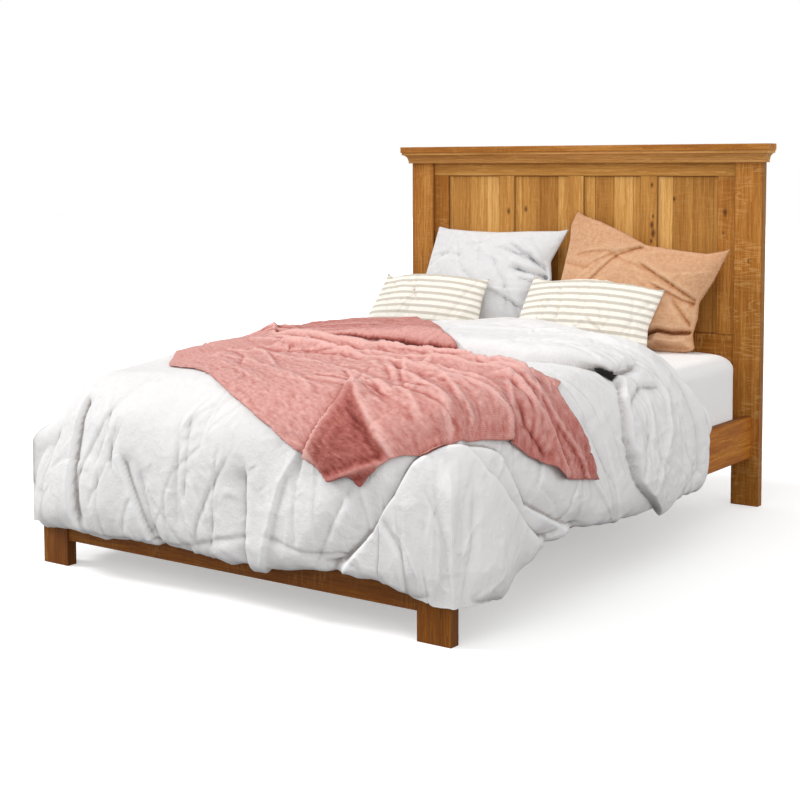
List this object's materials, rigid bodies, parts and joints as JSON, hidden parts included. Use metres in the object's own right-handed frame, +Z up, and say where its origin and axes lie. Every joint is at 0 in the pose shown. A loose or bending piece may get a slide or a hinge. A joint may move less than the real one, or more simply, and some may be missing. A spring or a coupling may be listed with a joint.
{
  "type": "panel bed",
  "caption": "Oak panel bed with a tall framed headboard under a moulded crown, a low plank footboard, hook-on side rails and a slat base, dressed with duvet, throw and pillows.",
  "frame": {"origin": "on the floor, under the middle of the whole dressed bed", "axes": "+X to the right seen from the foot, +Y from the foot to the headboard, +Z up"},
  "size_m": [1.804, 2.2288, 1.405],
  "materials": {
    "oak_oiled": "oak boards, planed and sanded with eased edges, honey-brown oil finish",
    "pine_raw": "planed pine, unfinished",
    "steel_zinc": "zinc-plated stamped steel",
    "felt_pad": "pressed wool felt",
    "mattress_ticking": "knitted mattress ticking over foam",
    "cotton_sheet": "plain woven white cotton, pulled tight",
    "duvet_linen": "washed white linen cover over a loose filling",
    "throw_linen": "stone-washed coral linen with a crinkled surface",
    "pillow_grey_linen": "washed light grey linen",
    "pillow_peach_linen": "washed orange-peach linen with a heathered yarn",
    "ticking_stripe": "cream cotton with soft grey-beige woven stripes"
  },
  "bodies": {
    "root": {"centre_beam": "pine_raw", "crown_cap": "oak_oiled", "crown_moulding_front": "oak_oiled", "crown_moulding_left": "oak_oiled", "crown_moulding_right": "oak_oiled", "crown_nailer": "pine_raw", "duvet": "duvet_linen", "fitted_sheet": "cotton_sheet", "foot_leg_left": "oak_oiled", "foot_leg_right": "oak_oiled", "footboard_rail": "oak_oiled", "headboard_bottom_rail": "oak_oiled", "headboard_muntin_1": "oak_oiled", "headboard_muntin_2": "oak_oiled", "headboard_muntin_3": "oak_oiled", "headboard_panel_1": "oak_oiled", "headboard_panel_2": "oak_oiled", "headboard_panel_3": "oak_oiled", "headboard_panel_4": "oak_oiled", "headboard_post_left": "oak_oiled", "headboard_post_right": "oak_oiled", "headboard_stile_left": "oak_oiled", "headboard_stile_right": "oak_oiled", "headboard_top_rail": "oak_oiled", "leg_felt_pads": "felt_pad", "leg_hanger_bolts": "steel_zinc", "lumbar_pillow_left": "ticking_stripe", "lumbar_pillow_right": "ticking_stripe", "mattress": "mattress_ticking", "pillow_left": "pillow_grey_linen", "pillow_right": "pillow_peach_linen", "rail_hook_plates": "steel_zinc", "rail_slot_plates": "steel_zinc", "side_rail_left": "oak_oiled", "side_rail_right": "oak_oiled", "slat_01": "pine_raw", "slat_02": "pine_raw", "slat_03": "pine_raw", "slat_04": "pine_raw", "slat_05": "pine_raw", "slat_06": "pine_raw", "slat_07": "pine_raw", "slat_08": "pine_raw", "slat_09": "pine_raw", "slat_10": "pine_raw", "slat_11": "pine_raw", "slat_12": "pine_raw", "slat_ledger_left": "pine_raw", "slat_ledger_right": "pine_raw", "support_leg_1": "pine_raw", "support_leg_2": "pine_raw", "support_leg_3": "pine_raw", "throw_blanket": "throw_linen"}
  },
  "joints": []
}
